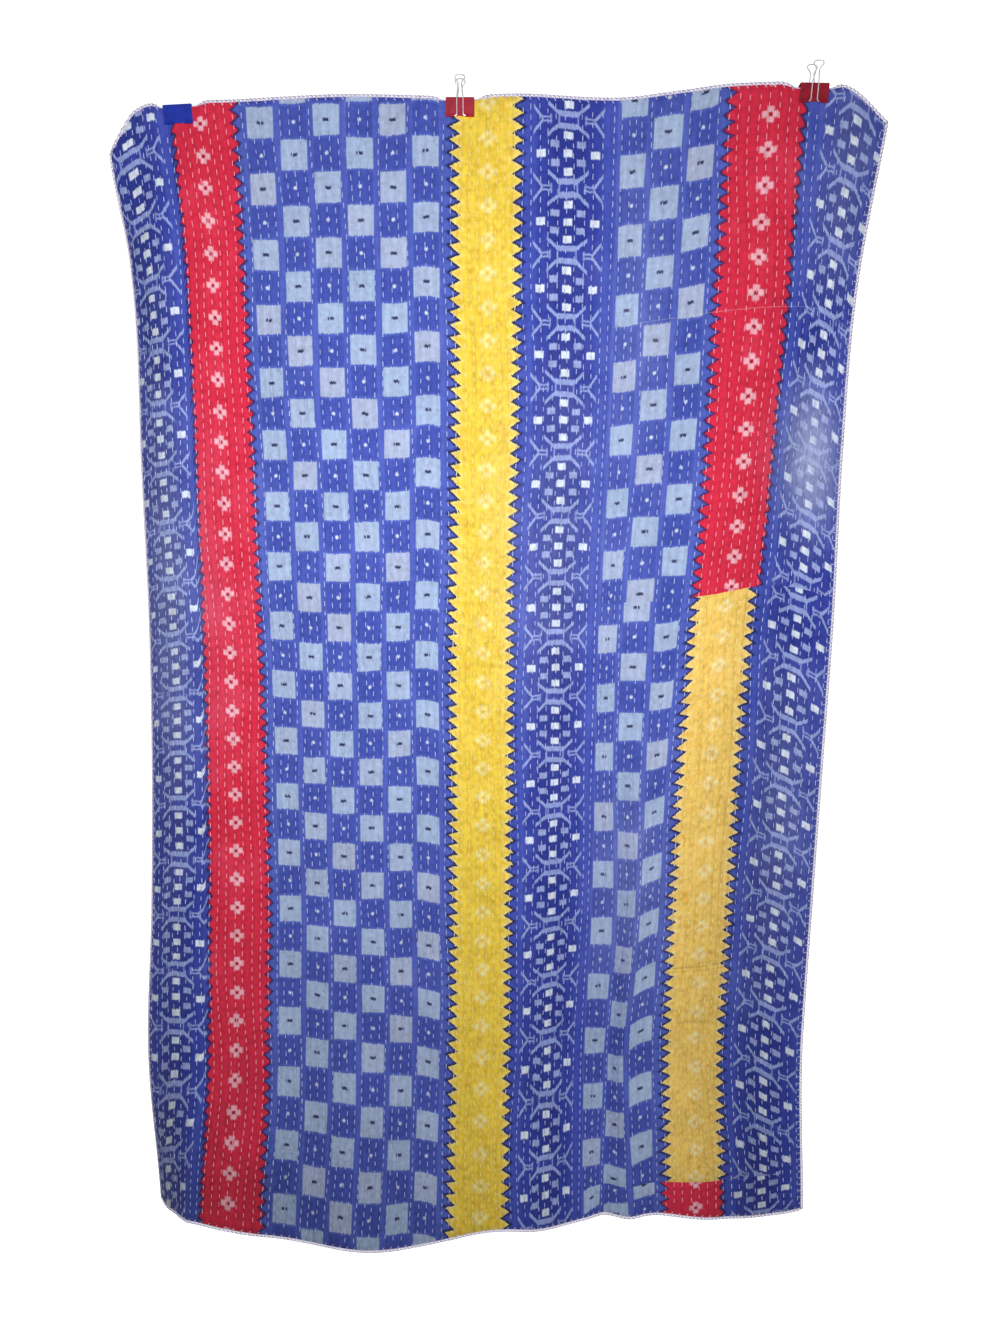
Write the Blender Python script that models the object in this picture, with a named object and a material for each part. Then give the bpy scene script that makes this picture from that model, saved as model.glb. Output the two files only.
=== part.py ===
"""Kantha quilt hung by its top edge from three binder clips.

Metres, +Z up, the quilt's face towards -Y.  The origin is where the middle clip's wire
handles hang: x = 0 is that clip's centre line and z = 0 the inside top of its loops.
The quilt is one solid of its true hanging shape.  Each clip is a spring-steel body, and
the middle and right clips have their two wire handles turned up.
"""
import math

import bmesh
import bpy
from mathutils import Matrix, Vector

# ---------------------------------------------------------------- quilt sizes
QUILT_WIDTH = 1.415          # flat, left edge to right edge
QUILT_LENGTH = 2.160         # flat, top edge to foot
QUILT_THICK = 0.0035         # layered old saris, quilted
COLUMNS = 48                 # facets across
ROWS = 46                    # facets down
EDGE_DROP = 0.0364           # the quilt's top edge under the origin, at the middle clip

# Where the quilt's upright lines hang.  A row is one line of the cloth: how far it is
# across the flat quilt, then its x at each level down the cloth.
LEVELS = (0.0, 0.3, 0.6, 0.9, 1.2, 1.5, 1.8, 2.16)
HANG_LINES = (
    ("left edge", 0.000, (-0.636, -0.612, -0.610, -0.605, -0.608, -0.618, -0.634, -0.622)),
    ("left roll", 0.034, (-0.624, -0.589, -0.586, -0.583, -0.584, -0.591, -0.604, -0.600)),
    ("left strip", 0.075, (-0.584, -0.562, -0.555, -0.550, -0.551, -0.557, -0.569, -0.566)),
    ("red band left", 0.150, (-0.518, -0.497, -0.490, -0.485, -0.483, -0.487, -0.496, -0.506)),
    ("red band right", 0.262, (-0.406, -0.395, -0.386, -0.380, -0.375, -0.374, -0.383, -0.389)),
    ("check middle", 0.452, (-0.211, -0.208, -0.203, -0.200, -0.198, -0.198, -0.201, -0.208)),
    ("yellow band left", 0.646, (-0.012, -0.013, -0.013, -0.020, -0.021, -0.021, -0.024, -0.029)),
    ("yellow band right", 0.764, (0.106, 0.105, 0.102, 0.093, 0.093, 0.090, 0.087, 0.083)),
    ("long seam", 0.946, (0.285, 0.280, 0.272, 0.259, 0.254, 0.250, 0.237, 0.230)),
    ("pleat back", 1.002, (0.343, 0.331, 0.321, 0.303, 0.295, 0.298, 0.284, 0.268)),
    ("pleat front", 1.060, (0.408, 0.392, 0.379, 0.363, 0.345, 0.336, 0.318, 0.322)),
    ("right band left", 1.135, (0.487, 0.468, 0.455, 0.436, 0.410, 0.396, 0.389, 0.387)),
    ("right band right", 1.259, (0.620, 0.598, 0.577, 0.553, 0.529, 0.515, 0.503, 0.501)),
    ("right strip", 1.340, (0.698, 0.665, 0.648, 0.630, 0.610, 0.597, 0.584, 0.580)),
    ("right edge", 1.415, (0.764, 0.718, 0.701, 0.694, 0.681, 0.668, 0.657, 0.650)),
)

# How much higher each line hangs than its distance down the cloth says.
LIFT_LEVELS = (0.0, 0.6, 1.2, 1.8, 2.16)
LINE_LIFTS = (
    ("left edge", 0.000, (-0.088, -0.040, -0.012, 0.002, 0.052)),
    ("left roll", 0.034, (-0.062, -0.029, -0.009, 0.002, 0.056)),
    ("left strip", 0.075, (-0.018, -0.020, -0.006, 0.002, 0.060)),
    ("red band left", 0.150, (-0.010, -0.008, -0.003, 0.005, 0.064)),
    ("red band right", 0.262, (-0.006, -0.008, -0.004, 0.006, 0.046)),
    ("check middle", 0.452, (0.003, -0.008, -0.008, 0.000, 0.024)),
    ("yellow band left", 0.646, (0.000, -0.006, -0.008, -0.014, 0.035)),
    ("yellow band right", 0.764, (0.004, -0.004, -0.006, -0.008, 0.045)),
    ("long seam", 0.946, (-0.003, -0.002, 0.000, 0.010, 0.066)),
    ("pleat front", 1.060, (0.011, 0.006, 0.010, 0.028, 0.088)),
    ("right band left", 1.135, (0.021, 0.012, 0.018, 0.038, 0.097)),
    ("right band right", 1.259, (0.024, 0.018, 0.028, 0.045, 0.098)),
    ("right strip", 1.340, (0.024, 0.010, 0.012, 0.030, 0.090)),
    ("right edge", 1.415, (-0.042, -0.025, -0.010, 0.015, 0.098)),
)

# Soft upright folds: how far across at the top and at the foot, half width, depth (back
# is +), and the levels between which the fold comes in.
FOLDS = (
    ("belly of the checks", 0.42, 0.46, 0.190, -0.022, 0.06, 0.60),
    ("hollow at the yellow band", 0.70, 0.72, 0.110, 0.010, 0.10, 0.90),
    ("hollow at the long seam", 0.90, 0.95, 0.130, 0.020, 0.06, 0.70),
    ("right band ridge", 1.19, 1.19, 0.110, -0.014, 0.06, 0.80),
    ("outer strip hollow", 1.33, 1.34, 0.070, 0.012, 0.06, 0.60),
)
PLEAT_BACK = 1.000           # the pleat's riser runs from here ...
PLEAT_FRONT = 1.062          # ... to here, and the cloth right of it stands forward
PLEAT_DEPTH = 0.034
PLEAT_STARTS = 0.75          # levels between which the pleat comes in
PLEAT_FULL = 1.45
PANEL_TURNS = 1.20           # right of here the forward cloth goes back in line
PANEL_BACK = 1.46
ROLL_WIDTH = 0.118           # the left edge rolls away from the viewer over this width
ROLL_POWER = 1.4
ROLL_TOP = 0.022             # the roll's depth at the top corner, on the edge below it ...
ROLL_SIDE = 0.058
ROLL_FOOT = 0.076            # ... and at the foot
ROLL_SIDE_FROM = 0.20        # levels between which the roll is ROLL_SIDE deep
ROLL_SIDE_TO = 1.80
FOOT_STARTS = 1.74           # the foot kicks forward from here down
FOOT_ENDS = 2.26             # the kick's curve would level out here
FOOT_KICK = 0.066
KICK_FROM = -0.10            # across: the kick is weak at the left edge, full from KICK_FULL
KICK_FULL = 0.20
WAVE_LENGTH = 0.36           # ripples along the foot
WAVE_DEPTH = 0.0066
WAVE_PHASE = 0.8

# Each clip's spine pushes the top edge under it down: how far across, how deep.
SQUEEZES = (
    ("left", 0.1625, 0.0055),
    ("middle", 0.6580, 0.0033),
    ("right", 1.2725, 0.0068),
)
SQUEEZE_FLAT = 0.044         # evenly deep this far to each side ...
SQUEEZE_HALF = 0.078         # ... and gone here
SQUEEZE_DOWN = 0.060         # and this far down the cloth

# ----------------------------------------------------------------- clip sizes
CLIP_WIDTH = 0.051
CLIP_HEIGHT = 0.030          # spine to jaw
SPINE_HALF = 0.009
STEEL = 0.0008
GAP = 0.0003                 # left between pieces that touch
LIP_RADIUS = 0.0019          # centre line of the curled lips
LIP_ARC = math.radians(260.0)
LIP_STEPS = 10
LIP_NOTCH_HALF = 0.0095      # the lips stop here, where the handle comes out
EDGE_UNDER_SPINE = 0.0010    # the cloth's top edge stops this far under the spine
WIRE_RADIUS = 0.0011
WIRE_IN_LIP = 0.017          # how far out the wire's ends lie in the lips
LOOP_TOP = 0.0382            # wire centre line above the spine
WIRE_POINTS = 56
# name, x, turn in degrees, the handles' sideways leans in degrees
CLIPS = (
    ("left", -0.5055, 3.0, ()),
    ("middle", 0.0000, 0.0, (0.0, 0.0)),
    ("right", 0.6330, -1.0, (9.0, -3.0)),
)
CLIP_PAINT = {"left": (0.010, 0.050, 0.390, 1.0), "middle": (0.370, 0.013, 0.030, 1.0),
              "right": (0.270, 0.003, 0.018, 1.0)}


def clear_scene():
    for thing in list(bpy.data.objects):
        bpy.data.objects.remove(thing, do_unlink=True)


def principled(name, colour, roughness, metallic):
    material = bpy.data.materials.new(name)
    material.use_nodes = True
    shader = material.node_tree.nodes["Principled BSDF"]
    shader.inputs["Base Color"].default_value = colour
    shader.inputs["Roughness"].default_value = roughness
    shader.inputs["Metallic"].default_value = metallic
    return material


def add_object(name, data, material):
    thing = bpy.data.objects.new(name, data)
    bpy.context.scene.collection.objects.link(thing)
    data.materials.append(material)
    return thing


# -------------------------------------------------------------------- curves
def smooth_through(stations, values, at):
    """Value at a place on the smooth curve through values at rising stations."""
    last = len(stations) - 1
    i = 0
    while i < last - 1 and at > stations[i + 1]:
        i += 1

    def slope(k):
        lo, hi = max(k - 1, 0), min(k + 1, last)
        return (values[hi] - values[lo]) / (stations[hi] - stations[lo])

    span = stations[i + 1] - stations[i]
    t = (at - stations[i]) / span
    rise = values[i + 1] - values[i]
    a = slope(i) * span - rise
    b = rise - slope(i + 1) * span
    return values[i] + rise * t + t * (1 - t) * (a * (1 - t) + b * t)


def ease(low, high, at):
    t = min(max((at - low) / (high - low), 0.0), 1.0)
    return t * t * (3.0 - 2.0 * t)


def table_value(table, levels, across, down):
    """Smooth both ways through a table of lines (rows) and levels (columns)."""
    stations = [row[1] for row in table]
    values = [smooth_through(levels, row[2], down) for row in table]
    return smooth_through(stations, values, across)


# --------------------------------------------------------------------- quilt
def depth_of(across, down):
    """How far the cloth stands back (+) or forward (-) of the clips' plane."""
    depth = 0.0
    for _, top, foot, half, deep, starts, full in FOLDS:
        off = (across - top - (foot - top) * down / QUILT_LENGTH) / half
        if abs(off) < 1.0:
            depth += deep * ease(starts, full, down) * 0.5 * (1.0 + math.cos(math.pi * off))
    panel = ease(PLEAT_BACK, PLEAT_FRONT, across) * (1.0 - ease(PANEL_TURNS, PANEL_BACK, across))
    depth -= PLEAT_DEPTH * panel * ease(PLEAT_STARTS, PLEAT_FULL, down)
    if across < ROLL_WIDTH:
        depth += roll_depth(down) * (1.0 - across / ROLL_WIDTH) ** ROLL_POWER
    wave = WAVE_DEPTH * math.sin(2.0 * math.pi * across / WAVE_LENGTH + WAVE_PHASE)
    kick = FOOT_KICK * ease(KICK_FROM, KICK_FULL, across)
    return depth + (wave - kick) * ease(FOOT_STARTS, FOOT_ENDS, down)


def roll_depth(down):
    depth = ROLL_TOP + (ROLL_SIDE - ROLL_TOP) * ease(0.0, ROLL_SIDE_FROM, down)
    return depth + (ROLL_FOOT - ROLL_SIDE) * ease(ROLL_SIDE_TO, QUILT_LENGTH, down)


def squeeze(across, down):
    """How far the clips push the cloth down."""
    push = 0.0
    for _, centre, deep in SQUEEZES:
        push += deep * (1.0 - ease(SQUEEZE_FLAT, SQUEEZE_HALF, abs(across - centre)))
    return push * (1.0 - ease(0.0, SQUEEZE_DOWN, down))


def quilt_point(across, down):
    x = table_value(HANG_LINES, LEVELS, across, down)
    lift = table_value(LINE_LIFTS, LIFT_LEVELS, across, down) - squeeze(across, down)
    return Vector((x, depth_of(across, down), lift - down - EDGE_DROP))


def quilt_normal(across, down):
    step = 0.0005
    right = quilt_point(min(across + step, QUILT_WIDTH), down)
    left = quilt_point(max(across - step, 0.0), down)
    below = quilt_point(across, min(down + step, QUILT_LENGTH))
    above = quilt_point(across, max(down - step, 0.0))
    return (right - left).cross(above - below).normalized()


def build_quilt():
    mesh = bpy.data.meshes.new("quilt")
    bm = bmesh.new()
    face_side = []
    back_side = []
    for j in range(ROWS + 1):
        down = QUILT_LENGTH * j / ROWS
        for i in range(COLUMNS + 1):
            across = QUILT_WIDTH * i / COLUMNS
            middle = quilt_point(across, down)
            # the cross product of "right" and "up" points at the viewer
            half = quilt_normal(across, down) * (0.5 * QUILT_THICK)
            face_side.append(bm.verts.new(middle + half))
            back_side.append(bm.verts.new(middle - half))
    wide = COLUMNS + 1

    def quad(a, b, c, d):
        bm.faces.new((a, b, c, d))

    for j in range(ROWS):
        for i in range(COLUMNS):
            k = j * wide + i
            quad(face_side[k], face_side[k + wide], face_side[k + wide + 1], face_side[k + 1])
            quad(back_side[k], back_side[k + 1], back_side[k + wide + 1], back_side[k + wide])
    rim = list(range(COLUMNS))
    rim += [j * wide + COLUMNS for j in range(ROWS)]
    rim += [ROWS * wide + i for i in range(COLUMNS, 0, -1)]
    rim += [j * wide for j in range(ROWS, 0, -1)]
    for k, here in enumerate(rim):
        there = rim[(k + 1) % len(rim)]
        quad(face_side[here], face_side[there], back_side[there], back_side[here])
    bmesh.ops.triangulate(bm, faces=bm.faces)
    bmesh.ops.recalc_face_normals(bm, faces=bm.faces)
    bm.to_mesh(mesh)
    bm.free()
    mesh.shade_smooth()
    mesh.set_sharp_from_angle(angle=math.radians(50.0))
    return add_object("quilt", mesh, principled("quilted cotton", (0.07, 0.09, 0.42, 1.0), 0.9, 0.0))


# --------------------------------------------------------------------- clips
def clip_profile():
    """Half of the body's centre line in (y, z), spine to jaw tip, and the lip's arc."""
    jaw = 0.5 * QUILT_THICK + GAP + 0.5 * STEEL
    side = [(0.0, 0.0), (-0.72 * SPINE_HALF, 0.0), (-0.93 * SPINE_HALF, -0.0005),
            (-SPINE_HALF, -0.0020), (-jaw, -CLIP_HEIGHT)]
    lip = []
    for k in range(1, LIP_STEPS + 1):
        turn = -LIP_ARC * k / LIP_STEPS
        lip.append((-jaw - LIP_RADIUS + LIP_RADIUS * math.cos(turn),
                    -CLIP_HEIGHT + LIP_RADIUS * math.sin(turn)))
    return side, lip


def build_clip_body(name, place, paint):
    side, lip = clip_profile()
    front = side[1:] + lip
    path = [(-y, z) for y, z in reversed(front)] + [side[0]] + front
    lip_ends = {k for k in range(len(path) - 1)
                if k < LIP_STEPS or k >= len(path) - 1 - LIP_STEPS}
    half = 0.5 * CLIP_WIDTH
    stations = (-half, -LIP_NOTCH_HALF, LIP_NOTCH_HALF, half)
    mesh = bpy.data.meshes.new(name)
    bm = bmesh.new()
    grid = [[bm.verts.new((x, y, z)) for y, z in path] for x in stations]
    for column in range(3):
        for k in range(len(path) - 1):
            if column == 1 and k in lip_ends:
                continue
            bm.faces.new((grid[column][k], grid[column][k + 1],
                          grid[column + 1][k + 1], grid[column + 1][k]))
    bmesh.ops.delete(bm, geom=[v for v in bm.verts if not v.link_faces], context="VERTS")
    bmesh.ops.recalc_face_normals(bm, faces=bm.faces)
    bm.to_mesh(mesh)
    bm.free()
    body = add_object(name, mesh, paint)
    body.matrix_world = place
    wall = body.modifiers.new("steel", "SOLIDIFY")
    wall.thickness = STEEL
    wall.offset = 0.0
    wall.use_even_offset = True
    mesh.shade_smooth()
    mesh.set_sharp_from_angle(angle=math.radians(40.0))
    return body


def handle_route(facing):
    """Half of a handle's centre line in x, y, z, from its end in the lip to the loop's top."""
    jaw = 0.5 * QUILT_THICK + GAP + 0.5 * STEEL
    lip_y = jaw + LIP_RADIUS
    lean = (SPINE_HALF - jaw) / CLIP_HEIGHT
    clear = 0.5 * STEEL + GAP + WIRE_RADIUS + 0.0002

    def beside(z):
        return jaw + (z + CLIP_HEIGHT) * lean + clear

    route = [(WIRE_IN_LIP, lip_y, -CLIP_HEIGHT), (0.0105, lip_y, -CLIP_HEIGHT),
             (0.0082, lip_y, -CLIP_HEIGHT), (0.0063, lip_y + 0.0002, -CLIP_HEIGHT + 0.0009),
             (0.0056, beside(-0.0265), -0.0265), (0.0055, beside(-0.024), -0.024),
             (0.0055, beside(-0.012), -0.012), (0.0054, beside(0.0), 0.0),
             (0.0047, 0.0108, 0.0085), (0.0034, 0.0101, 0.0170), (0.0031, 0.0096, 0.0225),
             (0.0048, 0.0091, 0.0271), (0.0078, 0.0086, 0.0303), (0.0090, 0.0083, 0.0338),
             (0.0074, 0.0081, 0.0367), (0.0040, 0.0080, 0.0379), (0.0, 0.0080, LOOP_TOP)]
    return [Vector((x, facing * y, z)) for x, y, z in route]


def build_handle(name, place, facing, lean, steel):
    half = handle_route(facing)
    route = half + [Vector((-p.x, p.y, p.z)) for p in reversed(half[:-1])]
    lengths = [0.0]
    for a, b in zip(route, route[1:]):
        lengths.append(lengths[-1] + (b - a).length)
    curve = bpy.data.curves.new(name, "CURVE")
    curve.dimensions = "3D"
    curve.bevel_depth = WIRE_RADIUS
    curve.bevel_resolution = 2
    curve.use_fill_caps = True
    spline = curve.splines.new("POLY")
    spline.points.add(WIRE_POINTS)
    for k in range(WIRE_POINTS + 1):
        at = lengths[-1] * k / WIRE_POINTS
        point = [smooth_through(lengths, [p[axis] for p in route], at) for axis in range(3)]
        # above the spine the loop leans sideways with the pull on it
        point[0] += max(point[2], 0.0) * math.tan(math.radians(lean))
        spline.points[k].co = (*point, 1.0)
    handle = add_object(name, curve, steel)
    handle.matrix_world = place
    return handle


def edge_height(x, slope):
    """Where a line of this slope just clears the quilt's top edge inside a clip centred at x."""
    edge = [quilt_point(QUILT_WIDTH * k / 400, 0.0) for k in range(401)]
    return max(p.z - (p.x - x) * slope for p in edge if abs(p.x - x) < 0.6 * CLIP_WIDTH)


def build_clips():
    wire = principled("bright wire", (0.62, 0.62, 0.64, 1.0), 0.25, 1.0)
    for name, x, turn, leans in CLIPS:
        edge = edge_height(x, math.tan(math.radians(turn)))
        spine = edge + EDGE_UNDER_SPINE + 0.5 * STEEL
        place = Matrix.Translation((x, 0.0, spine)) @ Matrix.Rotation(math.radians(-turn), 4, "Y")
        paint = principled(name + " clip enamel", CLIP_PAINT[name], 0.35, 0.0)
        build_clip_body(name + "_clip_body", place, paint)
        for side, facing, lean in zip(("front", "back"), (-1.0, 1.0), leans):
            build_handle(f"{name}_clip_{side}_handle", place, facing, lean, wire)


clear_scene()
build_quilt()
build_clips()
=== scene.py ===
import math

import bpy
import numpy as np
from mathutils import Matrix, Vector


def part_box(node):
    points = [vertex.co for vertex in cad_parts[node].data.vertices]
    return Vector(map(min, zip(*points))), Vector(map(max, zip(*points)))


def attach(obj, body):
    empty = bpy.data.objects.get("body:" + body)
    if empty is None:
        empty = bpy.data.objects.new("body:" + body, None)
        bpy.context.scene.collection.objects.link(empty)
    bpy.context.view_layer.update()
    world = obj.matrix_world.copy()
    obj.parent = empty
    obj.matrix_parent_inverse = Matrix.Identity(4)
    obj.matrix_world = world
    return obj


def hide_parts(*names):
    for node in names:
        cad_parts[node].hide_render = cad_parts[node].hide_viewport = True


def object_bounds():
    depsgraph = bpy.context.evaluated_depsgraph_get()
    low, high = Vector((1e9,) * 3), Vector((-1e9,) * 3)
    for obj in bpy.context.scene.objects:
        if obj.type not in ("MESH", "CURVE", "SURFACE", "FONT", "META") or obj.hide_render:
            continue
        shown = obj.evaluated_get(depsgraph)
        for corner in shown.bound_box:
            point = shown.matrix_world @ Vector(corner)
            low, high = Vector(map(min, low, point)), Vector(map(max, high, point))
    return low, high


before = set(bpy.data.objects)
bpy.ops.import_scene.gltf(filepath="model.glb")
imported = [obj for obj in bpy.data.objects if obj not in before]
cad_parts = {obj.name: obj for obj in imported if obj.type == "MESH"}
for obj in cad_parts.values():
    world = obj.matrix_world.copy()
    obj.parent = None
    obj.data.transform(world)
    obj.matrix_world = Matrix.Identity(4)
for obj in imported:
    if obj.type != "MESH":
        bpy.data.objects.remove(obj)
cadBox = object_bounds()
print("frame loaded:", ", ".join(sorted(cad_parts)))
bpy.ops.object.select_all(action="DESELECT")


# ---- camera: straight at the quilt from the level of its upper half, looking down a little
view = {"place": (0.0715, -1.946, -0.8709), "pitch": -5.5, "lens": 28.0, "sensorHeight": 36.0,
        "farthest": 60.0}


def setCamera():
    bpy.ops.object.camera_add(location=view["place"])
    camera = bpy.context.object
    camera.name = "camera"
    camera.rotation_euler = (math.radians(90.0 + view["pitch"]), 0.0, 0.0)
    camera.data.sensor_fit = "VERTICAL"
    camera.data.sensor_height = view["sensorHeight"]
    camera.data.lens = view["lens"]
    camera.data.clip_end = view["farthest"]
    bpy.context.scene.camera = camera


setCamera()
print("camera set")


# ---- the hanging cloth, in metres: the folds of the frame's quilt, with its corners and foot trued up
clothWide, clothLong = 1.415, 2.160
quilt = {
    "thick": 0.0035, "edgeDrop": 0.0364,
    "pleatBack": 1.000, "pleatFront": 1.062, "pleatDepth": 0.034,
    "pleatStarts": 0.75, "pleatFull": 1.45, "panelTurns": 1.20, "panelBack": 1.46,
    "rollWidth": 0.118, "rollPower": 1.4, "rollTop": 0.022, "rollSide": 0.058, "rollFoot": 0.076,
    "rollSideFrom": 0.20, "rollSideTo": 1.80,
    "footStarts": 1.74, "footEnds": 2.26, "footKick": 0.066, "kickFrom": -0.10, "kickFull": 0.20,
    "waveLength": 0.36, "waveDepth": 0.0066, "wavePhase": 0.8,
}
hangLevels = (0.0, 0.3, 0.6, 0.9, 1.2, 1.5, 1.8, 2.16)
# a line of the cloth: how far across the flat quilt, then its x at each level down the cloth
hangLines = (
    (0.000, (-0.636, -0.612, -0.610, -0.605, -0.608, -0.618, -0.634, -0.622)),  # left edge
    (0.034, (-0.624, -0.589, -0.586, -0.583, -0.584, -0.591, -0.604, -0.600)),  # its roll
    (0.075, (-0.584, -0.562, -0.555, -0.550, -0.551, -0.557, -0.569, -0.566)),
    (0.150, (-0.518, -0.497, -0.490, -0.485, -0.483, -0.487, -0.496, -0.506)),  # red band
    (0.262, (-0.406, -0.395, -0.386, -0.380, -0.375, -0.374, -0.383, -0.389)),
    (0.452, (-0.211, -0.208, -0.203, -0.200, -0.198, -0.198, -0.201, -0.208)),  # checks
    (0.646, (-0.012, -0.013, -0.013, -0.020, -0.021, -0.021, -0.024, -0.029)),  # yellow band
    (0.764, (0.106, 0.105, 0.102, 0.093, 0.093, 0.090, 0.087, 0.083)),
    (0.946, (0.285, 0.280, 0.272, 0.259, 0.254, 0.250, 0.237, 0.230)),  # long seam
    (1.002, (0.343, 0.331, 0.321, 0.303, 0.295, 0.298, 0.284, 0.268)),
    (1.060, (0.408, 0.392, 0.379, 0.363, 0.345, 0.336, 0.318, 0.322)),  # pleat
    (1.135, (0.487, 0.468, 0.455, 0.436, 0.410, 0.396, 0.389, 0.387)),  # right band
    (1.259, (0.620, 0.598, 0.577, 0.553, 0.529, 0.515, 0.503, 0.501)),
    (1.340, (0.698, 0.665, 0.648, 0.630, 0.610, 0.597, 0.584, 0.580)),
    (1.415, (0.764, 0.718, 0.701, 0.694, 0.681, 0.668, 0.657, 0.650)),  # right edge
)
liftLevels = (0.0, 0.6, 1.2, 1.8, 2.16)
# how much higher each line hangs than its distance down the cloth says
liftLines = (
    (0.000, (-0.088, -0.040, -0.012, 0.002, 0.042)),
    (0.034, (-0.073, -0.029, -0.009, 0.002, 0.047)),
    (0.075, (-0.022, -0.020, -0.006, 0.002, 0.057)),
    (0.150, (-0.010, -0.008, -0.003, 0.005, 0.064)),
    (0.262, (-0.006, -0.008, -0.004, 0.006, 0.046)),
    (0.452, (0.003, -0.008, -0.008, 0.000, 0.024)),
    (0.646, (0.000, -0.006, -0.008, -0.014, 0.035)),
    (0.764, (0.004, -0.004, -0.006, -0.008, 0.045)),
    (0.946, (-0.003, -0.002, 0.000, 0.010, 0.066)),
    (1.060, (0.011, 0.006, 0.010, 0.028, 0.099)),
    (1.135, (0.021, 0.012, 0.018, 0.038, 0.109)),
    (1.259, (0.024, 0.018, 0.028, 0.045, 0.105)),
    (1.340, (0.015, 0.010, 0.012, 0.030, 0.090)),
    (1.415, (-0.042, -0.025, -0.010, 0.015, 0.098)),
)
# upright folds: across at the top and at the foot, half width, depth, levels where it comes in
folds = (
    (0.42, 0.46, 0.190, -0.022, 0.06, 0.60),
    (0.70, 0.72, 0.110, 0.010, 0.10, 0.90),
    (0.90, 0.95, 0.130, 0.020, 0.06, 0.70),
    (1.19, 1.19, 0.110, -0.014, 0.06, 0.80),
    (1.33, 1.34, 0.070, 0.012, 0.06, 0.60),
)
# where each clip pushes the top edge down: how far across, how deep
squeezes = ((0.1625, 0.0055), (0.6580, 0.0033), (1.2725, 0.0068))
squeeze = {"half": 0.028, "reach": 0.058, "tall": 0.060}


def smoothThrough(stations, values, at):
    # the smooth curve through one value for each station, at an array of places
    steps = np.array(stations, float)
    rows = np.array([np.broadcast_to(value, at.shape) for value in values])
    last = len(steps) - 1
    low, high = np.maximum(np.arange(last + 1) - 1, 0), np.minimum(np.arange(last + 1) + 1, last)
    slopes = (rows[high] - rows[low]) / (steps[high] - steps[low])[:, None]
    i = np.clip(np.searchsorted(steps, at, side="left") - 1, 0, last - 1)
    each = np.arange(at.size)
    span = steps[i + 1] - steps[i]
    t = (at - steps[i]) / span
    here, rise = rows[i, each], rows[i + 1, each] - rows[i, each]
    a = slopes[i, each] * span - rise
    b = rise - slopes[i + 1, each] * span
    return here + rise * t + t * (1 - t) * (a * (1 - t) + b * t)


def ease(low, high, at):
    t = np.clip((at - low) / (high - low), 0.0, 1.0)
    return t * t * (3.0 - 2.0 * t)


def tableValue(table, levels, across, down):
    values = [smoothThrough(levels, row[1], down) for row in table]
    return smoothThrough([row[0] for row in table], values, across)


def depthOf(across, down):
    depth = np.zeros(across.shape)
    for top, foot, half, deep, starts, full in folds:
        off = np.clip((across - top - (foot - top) * down / clothLong) / half, -1.0, 1.0)
        depth += deep * ease(starts, full, down) * 0.5 * (1.0 + np.cos(math.pi * off))
    panel = ease(quilt["pleatBack"], quilt["pleatFront"], across)
    panel *= 1.0 - ease(quilt["panelTurns"], quilt["panelBack"], across)
    depth -= quilt["pleatDepth"] * panel * ease(quilt["pleatStarts"], quilt["pleatFull"], down)
    roll = quilt["rollTop"] + (quilt["rollSide"] - quilt["rollTop"]) * ease(0.0, quilt["rollSideFrom"], down)
    roll += (quilt["rollFoot"] - quilt["rollSide"]) * ease(quilt["rollSideTo"], clothLong, down)
    depth += roll * np.clip(1.0 - across / quilt["rollWidth"], 0.0, 1.0) ** quilt["rollPower"]
    wave = quilt["waveDepth"] * np.sin(2.0 * math.pi * across / quilt["waveLength"] + quilt["wavePhase"])
    kick = quilt["footKick"] * ease(quilt["kickFrom"], quilt["kickFull"], across)
    return depth + (wave - kick) * ease(quilt["footStarts"], quilt["footEnds"], down)


def middleOf(across, down):
    x = tableValue(hangLines, hangLevels, across, down)
    lift = tableValue(liftLines, liftLevels, across, down)
    for centre, deep in squeezes:
        beside = ease(squeeze["half"], squeeze["reach"], np.abs(across - centre))
        lift -= deep * (1.0 - beside) * (1.0 - ease(0.0, squeeze["tall"], down))
    return np.stack([x, depthOf(across, down), lift - down - quilt["edgeDrop"]], axis=-1)


def unit(vectors):
    return vectors / np.linalg.norm(vectors, axis=-1, keepdims=True)


def clothFrame(across, down):
    # middle of the cloth there, with its unit directions to the right, up and at the viewer
    step = 0.0005
    left, right = np.maximum(across - step, 0.0), np.minimum(across + step, clothWide)
    top, foot = np.maximum(down - step, 0.0), np.minimum(down + step, clothLong)
    right = middleOf(right, down) - middleOf(left, down)
    up = middleOf(across, top) - middleOf(across, foot)
    return middleOf(across, down), unit(right), unit(up), unit(np.cross(right, up))


# ---- kantha quilting: rows of running stitch, with the layers puffed up between them
sewn = {
    "leftLines": 59, "rightLines": 29, "pitch": 0.0178, "dash": 0.0124,
    "puff": 0.0012, "valley": 0.0005, "ripple": 0.0004, "uneven": 0.00066,
    "threadHalf": 0.00092, "threadHigh": 0.00055, "threadSunk": 0.0002, "backDash": 0.0052,
    "shortest": 0.86, "longer": 0.28, "lean": 0.0005, "stray": 0.0004, "firstDash": 0.006, "sway": 0.0011,
    "freeFrom": 0.4, "rowsPerMetre": 18.0,
    "edgeThin": 0.009, "leastHalf": 0.0005, "seamDip": 0.0013, "seamHalf": 0.007, "creaseDip": 0.0012,
    "creaseFade": 0.02,
}
# loose puckers: share of the unevenness, then two waves of them, each across, down and shift
puckers = ((1.0, (23.0, 9.0, 0.0), (-11.0, 31.0, 1.0)), (0.6, (61.0, -23.0, 2.0), (37.0, 47.0, 0.0)))
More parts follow.
